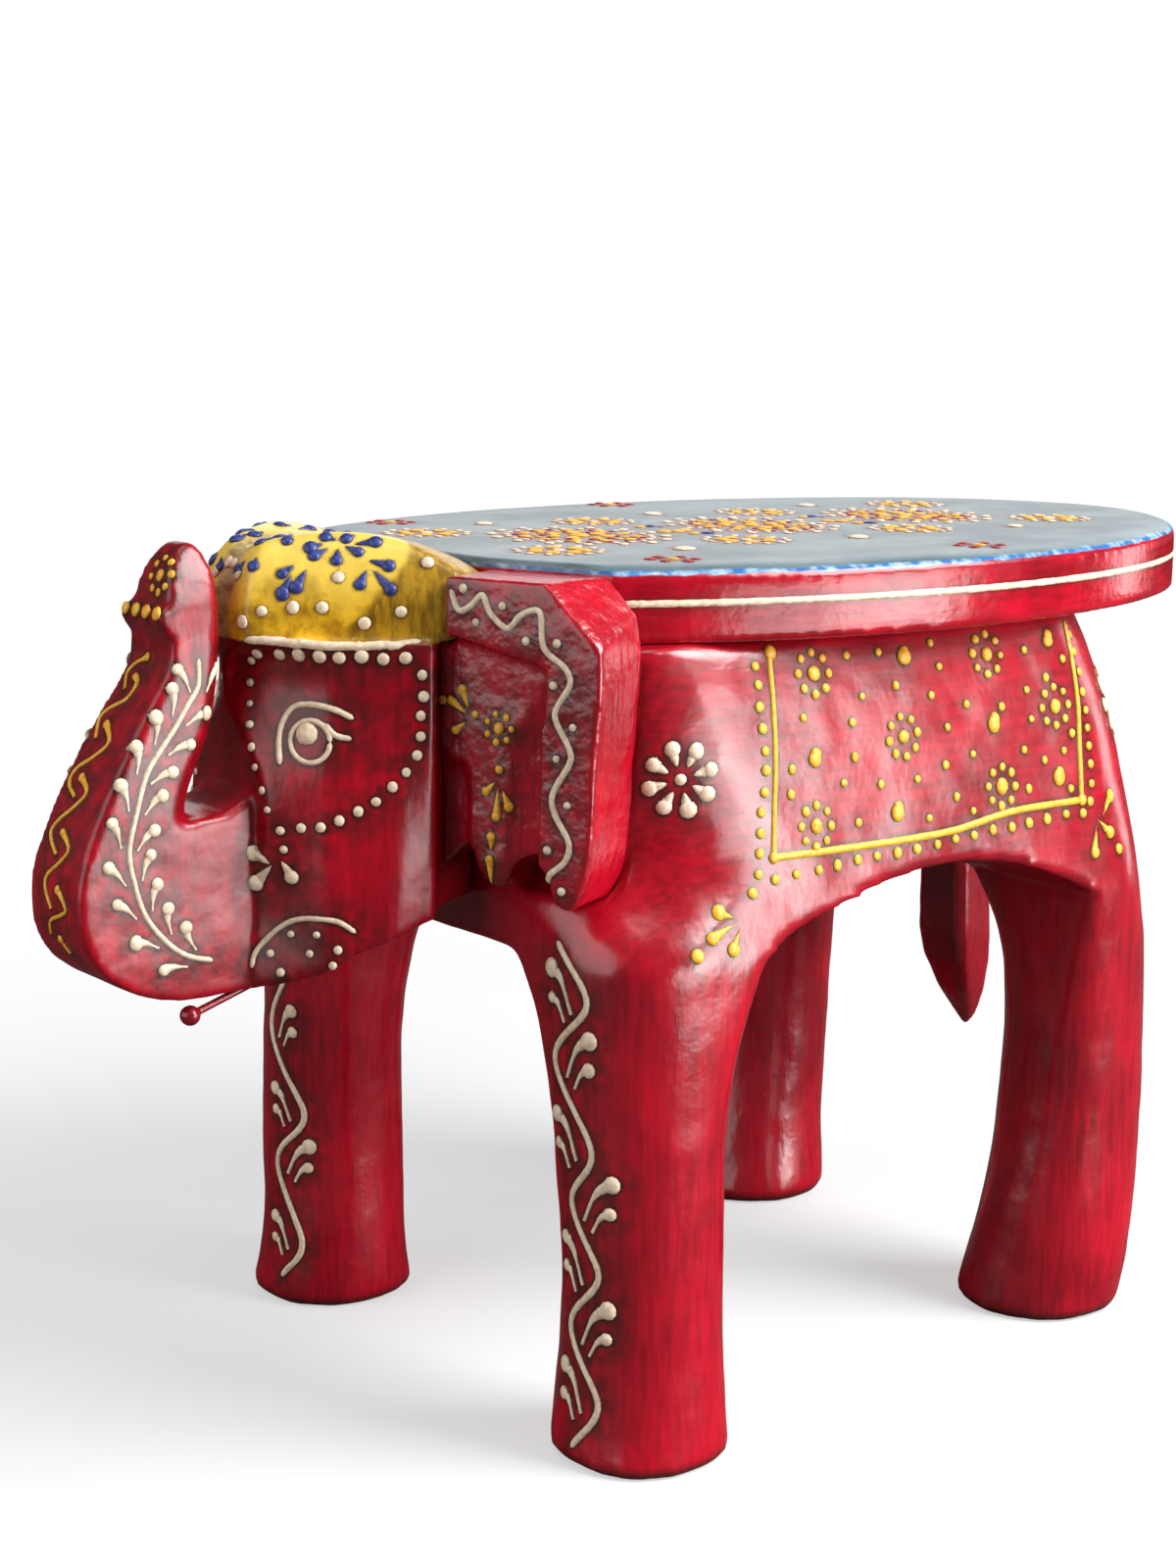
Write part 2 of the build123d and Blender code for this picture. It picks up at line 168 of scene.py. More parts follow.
def bead(stencil, colour, point, radius):
    touched = stencil.touch(point)
    if touched:
        size = radius * random.uniform(*handSettings["beadSizes"])
        marksOf(stencil.coat, colour)["beads"].append((touched[0], touched[1], size))


def smoothPath(points, step=lineSettings["step"]):
    points = [Vector(point) for point in points]
    ends = [points[0] * 2 - points[1]] + points + [points[-1] * 2 - points[-2]]
    path = []
    for before, start, end, after in zip(ends, ends[1:], ends[2:], ends[3:]):
        count = max(1, round((end - start).length / step))
        for index in range(count):
            t = index / count
            path.append(0.5 * (2 * start + (end - before) * t + (2 * before - 5 * start + 4 * end - after) * t * t
                               + (3 * start - before - 3 * end + after) * t ** 3))
    return path + [points[-1]]


def layLine(stencil, colour, path, widthAt):
    lengths = [0]
    for start, end in zip(path, path[1:]):
        lengths.append(lengths[-1] + (end - start).length)
    samples = []
    for point, length in zip(path, lengths):
        touched = stencil.touch(point)
        if touched:
            width = widthAt(length, lengths[-1]) * random.uniform(*handSettings["lineWidths"])
            samples.append((touched[0], touched[1], width))
    if len(samples) > 1:
        marksOf(stencil.coat, colour)["strokes"].append(samples)


def stroke(stencil, colour, points, halfWidth):     # even line with rounded ends
    def widthAt(length, total):
        end = min(1, min(length, total - length) / halfWidth)
        return halfWidth * (lineSettings["end"] + (1 - lineSettings["end"]) * end ** 0.5)

    layLine(stencil, colour, smoothPath(points), widthAt)


def drop(stencil, colour, points, halfWidth, thinning=0.8, least=0.08):     # round head and a tail that thins out
    step = lineSettings["dropStep"]
    path = smoothPath(points, step)
    first = round(halfWidth * lineSettings["head"] / step)     # the head's middle, not its far side
    path = path[min(len(path) - 3, first):]
    bead(stencil, colour, path[0], halfWidth)

    def widthAt(length, total):
        return halfWidth * lineSettings["neck"] * max(least, (1 - length / total) ** thinning)

    layLine(stencil, colour, path, widthAt)


def dottedLine(stencil, colour, points, spacing, radius):
    path = smoothPath(points, lineSettings["dotStep"])
    walked, most = spacing, handSettings["dotNudge"]
    for start, end in zip([path[0]] + path, path):
        walked += (end - start).length
        if walked >= spacing:
            walked = 0
            nudge = Vector((random.uniform(-most, most), random.uniform(-most, most)))
            bead(stencil, colour, end + nudge, radius)


def around(centre, radius, count, offset=0.0, widen=1.0):
    for index in range(count):
        angle = 2 * math.pi * (index + offset) / count
        yield Vector(centre) + Vector((math.cos(angle) * widen, math.sin(angle))) * radius


def rosette(stencil, colour, centre, radius, count, dotRadius, middleRadius):
    for point in around(centre, radius, count, random.random()):
        bead(stencil, colour, point, dotRadius)
    bead(stencil, colour, centre, middleRadius)


def flower(stencil, colour, centre, inner, outer, count, halfWidth, offset=0.0, widen=1.0):
    tails, heads = around(centre, inner, count, offset, widen), around(centre, outer, count, offset, widen)
    for tail, head in zip(tails, heads):
        drop(stencil, colour, [head, tail], halfWidth, lineSettings["petal"])


vineLeaves = [     # points beside a bend, half width in stems, how it thins out and its least width
    ([(-15.6, 9), (-9.6, 4.8), (-5.6, -4)], 2.3, 1.7, 0.26),
    ([(-15, 0), (-11.2, -2), (-8.6, -6.8)], 1.75, 1.5, 0.3),
]


def vine(stencil, colour, bends, halfWidth, leafScale):
    stroke(stencil, colour, bends, halfWidth)
    for before, bend, after in zip(bends, bends[1:], bends[2:]):
        side = 1 if bend[0] * 2 > before[0] + after[0] else -1
        for points, stems, thinning, least in vineLeaves:
            leaf = [Vector(bend) + Vector((across * side, up)) * leafScale for across, up in points]
            drop(stencil, colour, leaf, halfWidth * stems, thinning, least)


fernLeaf = {
    "first": 4, "last": 6, "ahead": 4,     # steps of the stem that stay bare at its ends, and that give its heading
    "headBack": 1.6, "bendReach": 0.6, "bendOn": 1.6, "tail": (2.6, 5.6),     # points beside the stem and along it
    "stems": 2.4, "thinning": 1.2, "least": 0.2,
}


def fern(stencil, colour, stem, halfWidth, spacing, reach, leaf=fernLeaf):
    stroke(stencil, colour, stem, halfWidth)
    path = smoothPath(stem)
    stride = round(spacing / lineSettings["step"])
    tailReach, tailOn = leaf["tail"]
    for index in range(leaf["first"], len(path) - leaf["last"], stride):
        along = (path[index + leaf["ahead"]] - path[index]).normalized()
        beside = Vector((along.y, -along.x))
        for hand in (1, -1):
            head = path[index] + beside * hand * reach - along * leaf["headBack"]
            bend = path[index] + beside * hand * reach * leaf["bendReach"] + along * leaf["bendOn"]
            tail = path[index] + beside * hand * tailReach + along * tailOn
            drop(stencil, colour, [head, bend, tail], halfWidth * leaf["stems"], leaf["thinning"], leaf["least"])


# painted patterns, in mm on their stencils
legSettings = {
    "frontVines": [     # side, size of the leaves, bends from the top down
        (1, 1.0, [(72, 153), (84, 137), (70.5, 118.5), (85, 94.5), (77.5, 78), (88, 58.5), (77, 41), (89, 20.5),
                  (80.5, 5.5)]),
        (-1, 0.85, [(70, 152), (82, 138), (69, 118), (81.5, 94), (68, 66), (78.5, 48), (68, 22), (75, 9)]),
    ],
    "frontLine": 1.15,     # half width of the stem
    "hindVine": [(-71, 140), (-81, 121), (-67, 99), (-82, 77), (-69, 55), (-82, 33), (-70, 12)],
    "hindLine": 1.1,
    "hindLeaves": 0.9,
}


def paintLegs(leg):
    for side, leaves, bends in leg["frontVines"]:
        vine(Stencil("bodyCoat", 0, side=side), "cream", bends, leg["frontLine"], leaves)
        vine(Stencil("bodyCoat", 180, side=side), "cream", leg["hindVine"], leg["hindLine"], leg["hindLeaves"])


blanketSettings = {
    "lines": [     # half width, then the points
        (1.0, [(-71, 231), (-72, 226), (-74, 201), (-76, 186), (-77, 174)]),
        (1.2, [(-77, 174), (-38, 173), (-7, 173), (5, 174), (24, 176), (54, 176)]),
        (1.05, [(54, 176), (55, 210), (56, 231)]),
    ],
    "corners": [(-71, 231), (-77, 174), (54, 176)],
    "cornerDot": 2.1,
    "dotRows": [     # spacing, radius, then the points
        (5.6, 1.75, [(-78, 228), (-78, 200), (-81, 184), (-83, 171), (-88, 161)]),
        (8, 1.7, [(-77, 168), (-50, 169), (-10, 170), (30, 172), (56, 172)]),
        (5.6, 1.6, [(57, 227), (58, 214), (59, 200), (59, 185), (58, 174)]),
    ],
    "rosettes": [(-56, 224), (16, 224), (-23, 203), (44, 206), (18, 184), (-60, 181)],
    "rosetteSize": (5.9, 8, 1.5, 2.5),     # ring, number of dots, their radius and the middle one's
    "largeDots": [(-19, 226), (-59, 200), (-27, 181), (16, 203), (44, 184), (44, 226)],
    "largeDot": 2.7,
    "largeDotTip": ((0.5, 1.5), 2.0),     # offset and radius of the smaller dab on it
    "smallDots": [(-7, 229), (-42, 228), (-29, 228), (-24, 218), (-38, 216), (-5, 222), (-10, 214), (5, 210),
                  (20, 208), (32, 212), (33, 224), (-62, 212), (-43, 209), (-4, 204), (-43, 199), (-68, 198),
                  (6, 195), (-6, 193), (-18, 190), (-48, 192), (-33, 190), (-69, 191), (-2, 183), (-14, 178),
                  (5, 178), (-43, 180), (29, 194), (33, 203), (38, 190), (47, 192), (30, 182), (49, 180), (51, 197),
                  (50, 220), (41, 215)],
    "smallDot": 1.45,
    "sprays": [[(-100, 162), (-93, 159)], [(-104, 154), (-93, 158)], [(-96, 149), (-92, 156)],
               [(70, 177), (64, 170)], [(58, 157), (60, 167)], [(68, 163), (61, 169)]],
    "sprayDrop": (2.2, 1.3),     # half width and how it thins out
    "sprayDots": [((-108, 150.7), 2.0), ((70.4, 158.6), 1.9)],
    "flowers": [(58, (-41.5, 198.3), 0.35), (138, (-7, 203), 0.0)],     # stencil's turn, centre, twist
    "flowerSize": (4.0, 11.0, 8, 2.5),     # inner and outer reach, petals, their half width
    "flowerDot": 2.0,
}


def paintFlank(side, blanket):
    flank = Stencil("bodyCoat", 90, side=side)
    for halfWidth, points in blanket["lines"]:
        stroke(flank, "yellow", points, halfWidth)
    for corner in blanket["corners"]:
        bead(flank, "yellow", corner, blanket["cornerDot"])
    for spacing, radius, points in blanket["dotRows"]:
        dottedLine(flank, "yellow", points, spacing, radius)
    for centre in blanket["rosettes"]:
        rosette(flank, "yellow", centre, *blanket["rosetteSize"])
    offset, tipRadius = blanket["largeDotTip"]
    for point in blanket["largeDots"]:
        bead(flank, "yellow", point, blanket["largeDot"])
        bead(flank, "yellow", Vector(point) + Vector(offset), tipRadius)
    for point in blanket["smallDots"]:
        bead(flank, "yellow", point, blanket["smallDot"])
    for points in blanket["sprays"]:
        drop(flank, "yellow", points, *blanket["sprayDrop"])
    for point, radius in blanket["sprayDots"]:
        bead(flank, "yellow", point, radius)
    for turn, centre, twist in blanket["flowers"]:     # on the shoulder and the rump
        sheet = Stencil("bodyCoat", turn, side=side)
        flower(sheet, "cream", centre, *blanket["flowerSize"], twist)
        bead(sheet, "cream", centre, blanket["flowerDot"])


cheekSettings = {
    "crownLine": (1.2, [(-143.5, 235.5), (-134.5, 235.5), (-121, 234.5), (-107.5, 235), (-94.5, 236)]),
    "dotRows": [     # spacing, radius, then the points: under the crown, behind the mask and before it
        (5.6, 1.95, [(-140, 231.5), (-118, 231.5), (-95, 231.5)]),
        (5.4, 1.5, [(-94, 226.5), (-94.5, 211), (-97, 202), (-105, 193), (-114, 188), (-122, 185), (-134.5, 183)]),
        (5.7, 1.2, [(-142.5, 229), (-142.5, 212), (-140.5, 200.5), (-136.5, 188)]),
    ],
    "browLine": (0.95, [(-133.5, 201.5), (-134, 208), (-133, 213), (-130, 217), (-125, 218), (-118.5, 217),
                        (-113, 214.5)]),
    "eye": ((-125, 208), 5.7, 14), "eyeLine": 0.85,     # centre, radius and points of the ring, its half width
    "pupil": ((-126, 210), 3.5),
    "eyeTail": (0.9, [(-121, 213), (-118, 210), (-113.5, 209)]),
    "cheekDrops": [[(-143, 177), (-136.5, 173.5)], [(-142, 166), (-136, 173)], [(-129, 168.5), (-133, 174.5)]],
    "cheekDrop": 2.4,
    "cheekDot": ((-132.3, 178), 1.3),
    "jawArc": (0.85, [(-142, 143.5), (-140.5, 148.5), (-135, 154.5), (-129.5, 158), (-123.5, 159), (-117, 158.5),
                      (-112, 155.5)]),
    "jawDots": [(-130.5, 154), (-123, 154.5), (-136.5, 148), (-125, 149), (-117, 150.5), (-133.5, 143),
                (-118.5, 146)],
    "jawDot": 1.3,
}


def paintCheek(side, cheek):
    face = Stencil("headCoat", 50, side=side)

    def line(name):
        halfWidth, points = cheek[name]
        stroke(face, "cream", points, halfWidth)

    line("crownLine")
    for spacing, radius, points in cheek["dotRows"]:
        dottedLine(face, "cream", points, spacing, radius)
    line("browLine")
    ring = list(around(*cheek["eye"]))
    stroke(face, "cream", ring + ring[:1], cheek["eyeLine"])
    bead(face, "cream", *cheek["pupil"])
    line("eyeTail")
    for points in cheek["cheekDrops"]:
        drop(face, "cream", points, cheek["cheekDrop"])
    bead(face, "cream", *cheek["cheekDot"])
    line("jawArc")
    for point in cheek["jawDots"]:
        bead(face, "cream", point, cheek["jawDot"])


crownSettings = {
    "dots": [(-126, 137), (-117.5, 138.5), (-109.5, 139), (-98, 136), (-88, 139.5), (-105.5, 147.5), (-81.5, 153.5),
             (-138, 153.5), (-131.5, 134.5), (-134, 148)],
    "dot": 1.8,
    "petals": [[(-121, 140.5), (-118.5, 147)], [(-117.5, 142.5), (-114.5, 149)], [(-122, 146.5), (-118, 150)],
               [(-114, 152.5), (-109.5, 156)], [(-115.5, 155.5), (-111, 157.5)], [(-106.5, 151), (-106.5, 156)],
               [(-99.5, 155), (-104.5, 157)], [(-90.5, 151.5), (-97.5, 153)], [(-100, 144.5), (-98, 150)],
               [(-90, 144), (-96, 150)], [(-95, 159.5), (-102, 158)], [(-112, 160.5), (-107.5, 159)],
               [(-106, 159), (-102.5, 161)], [(-120, 175), (-123.5, 171.5)], [(-130.5, 173), (-126, 173.5)],
               [(-138.5, 161), (-135.5, 165)], [(-134.5, 164), (-131.5, 167)], [(-121, 156.5), (-120.5, 161)],
               [(-145, 155.5), (-143, 159)], [(-141, 151.5), (-141, 156)]],
    "petal": 1.95,
}


def paintCrown(side, crown):
    sheet = Stencil("headCoat", 45, 30, side)
    for point in crown["dots"]:
        bead(sheet, "cream", point, crown["dot"])
    for points in crown["petals"]:
        drop(sheet, "blue", points, crown["petal"])


trunkSettings = {
    "stem": [(-212, 231.5), (-212.5, 224), (-216, 219), (-221, 212), (-226, 206), (-229.5, 201), (-233, 191),
             (-235.5, 181), (-234.5, 172.5), (-231.5, 163), (-225.5, 155), (-219, 150), (-211, 147.5)],
    "fern": (0.85, 9.4, 7.6),     # half width of the stem, spacing and reach of the leaves
    "hooks": [[(-0.5, 231.5), (-6.5, 229), (-9, 226), (-6, 222)],
              [(-5, 226), (-1.5, 224), (-2, 220), (-7.5, 217), (-10, 214), (-7, 209)],
              [(-6, 213.5), (0.5, 209), (-3, 205), (-9, 201), (-9.5, 197), (-3.5, 194)],
              [(-5.5, 199.5), (1, 196), (-1.5, 192), (-7.5, 187), (-8.5, 183.5), (-2.5, 179)],
              [(-3.5, 185.5), (3, 181.5), (1, 178), (-4.5, 173.5), (-5, 170), (-1.5, 164.5)],
              [(1, 171), (6.5, 166), (4.5, 164), (-2.5, 161), (-4.5, 157)], [(0, 157), (2.5, 152.5)]],
    "hook": (1.35, 2.6, 0.5),     # half width, how it thins out, and its least width
    "tipRosette": ((2.8, 253.8), 4.6, 8, 1.2, 1.9),
    "lipDots": [(-8, 244.2), (-2.4, 244.2), (3.2, 244.2), (8.8, 244.2)],
    "lipDot": 2.1,
}


def paintTrunkSide(side, trunk):
    fern(Stencil("headCoat", 90, side=side), "cream", trunk["stem"], *trunk["fern"])


def paintTrunkFront(trunk):
    front = Stencil("headCoat", 0)
    for points in trunk["hooks"]:
        drop(front, "yellow", points, *trunk["hook"])
    rosette(front, "yellow", *trunk["tipRosette"])
    for point in trunk["lipDots"]:
        bead(front, "yellow", point, trunk["lipDot"])


earSettings = {
    "start": (48.6, -155.2, 0), "turn": 22.7,     # the ear's root and the way that it faces
    "wave": [(1.5, 250.5), (4, 245), (8, 246.5), (11.5, 249.5), (14, 245), (19.5, 241), (24, 245), (29.5, 246),
             (31, 236.5), (37.5, 231.5), (39, 227), (34.5, 218.5), (39, 209.5), (39, 205.5), (34, 197),
             (34.5, 191.5), (39, 184), (38, 178.5), (33, 174), (32.5, 171.5)],
    "waveLine": 1.0,
    "waveDots": [(5.5, 251), (9.5, 242), (18, 247), (25.5, 238), (35, 238), (34, 226.5), (40, 215.5), (35, 206.5),
                 (38.5, 194), (32.5, 181), (37, 170)],
    "waveDot": 1.35,
    "drops": [[(-2.5, 219.5), (1, 217), (3.5, 215.5)], [(1.5, 223), (4, 217)], [(-1, 210), (3, 213)],
              [(9, 193.5), (12.5, 197)], [(13, 186.5), (13.5, 195.5)], [(17, 189.5), (15, 195)],
              [(11.5, 182.5), (11.5, 177.5)], [(11, 176), (11.5, 167.5)]],
    "drop": 1.55,
    "rosette": ((13.8, 212.3), 4.0, 7, 1.15, 1.8),
    "dots": [((-4.4, 218.8), 1.5), ((6.2, 215.6), 1.35), ((14, 200.8), 1.4)],
}


def paintEar(coat, side, ear):
    sheet = Stencil(coat, ear["turn"], side=side, start=ear["start"])
    stroke(sheet, "cream", ear["wave"], ear["waveLine"])
    for point in ear["waveDots"]:
        bead(sheet, "cream", point, ear["waveDot"])
    for points in ear["drops"]:
        drop(sheet, "yellow", points, ear["drop"])
    rosette(sheet, "yellow", *ear["rosette"])
    for point, radius in ear["dots"]:
        bead(sheet, "yellow", point, radius)


seatSettings = {
    "mandalas": [(0, -70), (0, 1), (0, 72)],
    "mandalaDot": 3.2,
    "widen": 1.15,     # the mandalas are wider across the seat
    "dotRings": [     # colour, ring, radius of the dots, their number
        ("red", 10.8, 1.3, 10), ("yellow", 13.4, 1.4, 12), ("red", 18.4, 1.2, 18), ("cream", 21.2, 1.4, 24)],
    "petalRings": [     # colour, inner and outer reach, number of petals, their half width
        ("yellow", 3.6, 10.2, 7, 2.6), ("yellow", 13, 18, 11, 2.1), ("cream", 22.4, 27, 15, 1.8)],
    "sideDrop": (52, 9, 3.2),     # its distance from the middle line, length and half width
    "gaps": [(0, -34.5), (0, 36.5)],
    "gapTips": [(5, -5.5), (7, 0), (5, 5.5)], "gapFoot": (2, 0), "gapDrop": 2.4,
    "gapDotReach": 13, "gapDot": 2.0,
    "gapBlue": [(16, 4), (9, 6)], "gapBlueDrop": 2.2,
    "smallFlowers": [(33, -104), (37, -34.5), (37, 36.5), (34, 106)],
    "smallFlower": (3, 9.4, 7, 2.5), "smallFlowerDot": 2.2,
    "smallFlowerRing": (12.6, 13, 1.5),     # ring, number of dots, their radius
    "edgeFlowers": [(70, -92), (88, 14)],
    "edgeFlower": (2.6, 8, 6, 1.8), "edgeFlowerDot": 2.0,
}


def paintMandala(top, centre, seat):
    bead(top, "yellow", centre, seat["mandalaDot"])
    for colour, radius, dotRadius, count in seat["dotRings"]:
        for point in around(centre, radius, count, random.random(), seat["widen"]):
            bead(top, colour, point, dotRadius)
    for colour, inner, outer, count, halfWidth in seat["petalRings"]:
        flower(top, colour, centre, inner, outer, count, halfWidth, random.random(), seat["widen"])
    reach, length, halfWidth = seat["sideDrop"]
    for hand in (1, -1):
        tip = Vector(centre) + Vector((reach * hand, 0))
        drop(top, "cream", [tip, tip - Vector((length * hand, 0))], halfWidth)


def paintGap(top, gap, seat):     # the small spray between two mandalas
    gap = Vector(gap)
    for tip in seat["gapTips"]:
        drop(top, "yellow", [gap + Vector(tip), gap - Vector(seat["gapFoot"])], seat["gapDrop"])
    for hand in (1, -1):
        bead(top, "yellow", gap + Vector((seat["gapDotReach"] * hand, 0)), seat["gapDot"])
        points = [gap + Vector((across * hand, up)) for across, up in seat["gapBlue"]]
        drop(top, "blue", points, seat["gapBlueDrop"])


def paintSeat(seat):
    top = Stencil("seatCoat", 0, 90)
    for centre in seat["mandalas"]:
        paintMandala(top, centre, seat)
    for gap in seat["gaps"]:
        paintGap(top, gap, seat)
    ring, count, dotRadius = seat["smallFlowerRing"]
    for x, y in seat["smallFlowers"]:
        for centre in ((x, y), (-x, y)):
            bead(top, "cream", centre, seat["smallFlowerDot"])
            flower(top, "yellow", centre, *seat["smallFlower"], random.random())
            for point in around(centre, ring, count, random.random()):
                bead(top, "cream", point, dotRadius)
    for x, y in seat["edgeFlowers"]:
        for centre in ((x, y), (-x, y)):
            flower(top, "red", centre, *seat["edgeFlower"])
            bead(top, "yellow", centre, seat["edgeFlowerDot"])


seatEdgeSettings = {
    "halfWidth": 104.5, "halfLength": 171, "height": 246.5,
    "halfTurn": 136,     # degrees from the back round to each ear
    "stepsPerDegree": 2, "rayStart": 0.05,     # the rays start this far outside, in metres
    "line": 1.15, "endBlob": 0.9, "blobLength": 3.5,     # the line ends in a blob of paint at each ear
    "lineWidths": (0.9, 1.1),
}


def paintSeatEdge(edge):
    samples = []
    perDegree = edge["stepsPerDegree"]
    lastStep = edge["halfTurn"] * perDegree
    for step in range(-lastStep, lastStep + 1):
        angle = math.radians(step / perDegree)
        outward = Vector((math.sin(angle) / edge["halfWidth"], math.cos(angle) / edge["halfLength"], 0)).normalized()
        place = (math.sin(angle) * edge["halfWidth"], math.cos(angle) * edge["halfLength"], edge["height"])
        origin = seatMiddle + Vector(place) * mm + outward * edge["rayStart"]
        touched = surfaces["seatCoat"].ray_cast(origin, -outward)
        if touched[0]:
            blob = max(0, 1 - (lastStep - abs(step)) / (edge["blobLength"] * perDegree))
            halfWidth = (edge["line"] + edge["endBlob"] * blob) * random.uniform(*edge["lineWidths"])
            samples.append((touched[0], touched[1], halfWidth))
    marksOf("seatCoat", "cream")["strokes"].append(samples)


paintLegs(legSettings)
for side in (1, -1):
    paintFlank(side, blanketSettings)
    paintCheek(side, cheekSettings)
    paintCrown(side, crownSettings)
    paintTrunkSide(side, trunkSettings)
paintTrunkFront(trunkSettings)
paintEar("leftEarCoat", 1, earSettings)
paintEar("rightEarCoat", -1, earSettings)
paintSeat(seatSettings)
paintSeatEdge(seatEdgeSettings)
print("patterns laid:", {key: (len(value["beads"]), len(value["strokes"])) for key, value in marks.items()})


domeSettings = {
    "least": 0.32, "growth": 0.32,     # height in mm, and what each mm of half width adds
    "sunk": 0.25,     # how much is left of the half of a bead that sinks into the coat
    "worn": {"seatCoat": 0.6},     # the paint on the seat is worn lower
}


def domeHeight(halfWidth, flatness):     # how far paint of a half width stands up, in mm
    return min(halfWidth, domeSettings["least"] + domeSettings["growth"] * halfWidth) * flatness


def makeBeadShape():
    bpy.ops.object.select_all(action="DESELECT")
    bpy.ops.mesh.primitive_uv_sphere_add(segments=10, ring_count=6, radius=1)
    shape = bpy.context.object
    bpy.ops.object.mode_set(mode="EDIT")
    bpy.ops.mesh.select_all(action="DESELECT")
    bpy.ops.object.mode_set(mode="OBJECT")
    for vertex in shape.data.vertices:
        vertex.select = vertex.co.z < -0.05     # all that is under the middle ring
    bpy.ops.object.mode_set(mode="EDIT")
    bpy.ops.transform.resize(value=(1, 1, domeSettings["sunk"]), center_override=(0, 0, 0))
    bpy.ops.object.mode_set(mode="OBJECT")
    bpy.ops.object.shade_smooth()
    return shape


def layBeads(name, shape, beads, flatness):
    copies = []
    for spot, normal, radius in beads:
        copy = bpy.data.objects.new(name, shape.data.copy())
        bpy.context.scene.collection.objects.link(copy)
        facing = normal.to_track_quat("Z", "Y").to_matrix().to_4x4()
        width = radius * random.uniform(*handSettings["beadWidths"])
        size = Matrix.Diagonal((radius * mm, width * mm, domeHeight(radius, flatness) * mm, 1))
        copy.matrix_world = Matrix.Translation(spot) @ facing @ size
        copies.append(copy)
    return copies


def layStrokes(name, strokes, flatness):
    curve = bpy.data.curves.new(name, "CURVE")
    curve.dimensions = "3D"
    curve.bevel_depth = mm
    curve.bevel_resolution = 2
    curve.use_fill_caps = True
    for samples in strokes:
        line = curve.splines.new("POLY")
        line.points.add(len(samples) - 1)
        for point, (spot, normal, halfWidth) in zip(line.points, samples):
            height = domeHeight(halfWidth, flatness)
            radius = (halfWidth ** 2 + height ** 2) / (2 * height)     # round bar sunk until this much shows
            point.co = (*(spot - normal * (radius - height) * mm), 1)
            point.radius = radius
    lines = bpy.data.objects.new(name, curve)
    bpy.context.scene.collection.objects.link(lines)
    pickOnly(lines)
    bpy.ops.object.convert(target="MESH")
    bpy.ops.object.shade_smooth()
    return [lines]


def storeNumbers(piece, name, numbers):
    layer = piece.data.attributes.new(name, "FLOAT", "POINT")
    layer.data.foreach_set("value", numbers)


def raisePaint(coatName, colour, laid, beadShape):
    name = coatName.replace("Coat", "") + colour.capitalize() + "Paint"
    flatness = domeSettings["worn"].get(coatName, 1.0)
    pieces = layBeads(name, beadShape, laid["beads"], flatness)
    if laid["strokes"]:
        pieces += layStrokes(name + "Lines", laid["strokes"], flatness)
    pickOnly(*pieces)
    if len(pieces) > 1:
        bpy.ops.object.join()
    bpy.ops.object.transform_apply(location=True, rotation=True, scale=True)
    paint = bpy.context.object
    paint.name = name
    nearest = surfaces[coatName].find_nearest
    storeNumbers(paint, "lift", [nearest(vertex.co)[3] / mm for vertex in paint.data.vertices])
    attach(paint, "root")
    return paint


beadShape = makeBeadShape()
paints = {key: raisePaint(*key, laid, beadShape) for key, laid in marks.items()}
bpy.data.objects.remove(beadShape)
print("raised paint:", {paint.name: len(paint.data.polygons) for paint in paints.values()})


washLimit = 9.0


def storeWash(coatName, coat):     # distance in mm from each point of a coat to the nearest raised paint, to a limit
    spots = []
    for (owner, _), laid in marks.items():
        if owner == coatName:
            spots += [(spot, size) for spot, _, size in laid["beads"]]
            spots += [(spot, size) for samples in laid["strokes"] for spot, _, size in samples]
    if not spots:
        storeNumbers(coat, "wash", [washLimit] * len(coat.data.vertices))
        return
    tree = KDTree(len(spots))
    for index, (spot, _) in enumerate(spots):
        tree.insert(spot, index)
    tree.balance()
    gaps = []
    for vertex in coat.data.vertices:
        near = tree.find_n(vertex.co, 3)
        gaps.append(min(washLimit, *(distance / mm - spots[index][1] for _, index, distance in near)))
    storeNumbers(coat, "wash", gaps)


for coatName, coat in coats.items():
    storeWash(coatName, coat)
print("wash measured")


class Signal:     # a node's output that takes part in plain expressions
    def __init__(self, board, socket):
        self.board, self.socket = board, socket

    def math(self, operation, first, second):
        return self.board.node("ShaderNodeMath", {"operation": operation}, {0: first, 1: second})

    def __add__(self, other):
        return self.math("ADD", self, other)

    def __radd__(self, other):
        return self.math("ADD", other, self)

    def __sub__(self, other):
        return self.math("SUBTRACT", self, other)

    def __rsub__(self, other):
        return self.math("SUBTRACT", other, self)

    def __mul__(self, other):
        return self.math("MULTIPLY", self, other)

    def __rmul__(self, other):
        return self.math("MULTIPLY", other, self)

    def fade(self, start, end):     # 0 at start and 1 at end, with soft ends
        return self.board.node("ShaderNodeMapRange", {"interpolation_type": "SMOOTHSTEP"},
                               {"Value": self, "From Min": start, "From Max": end})

    def ragged(self, size, sway, start, end, **kind):     # the same with an uneven edge
        return (self + self.board.noise(size, **kind) * sway).fade(start, end)


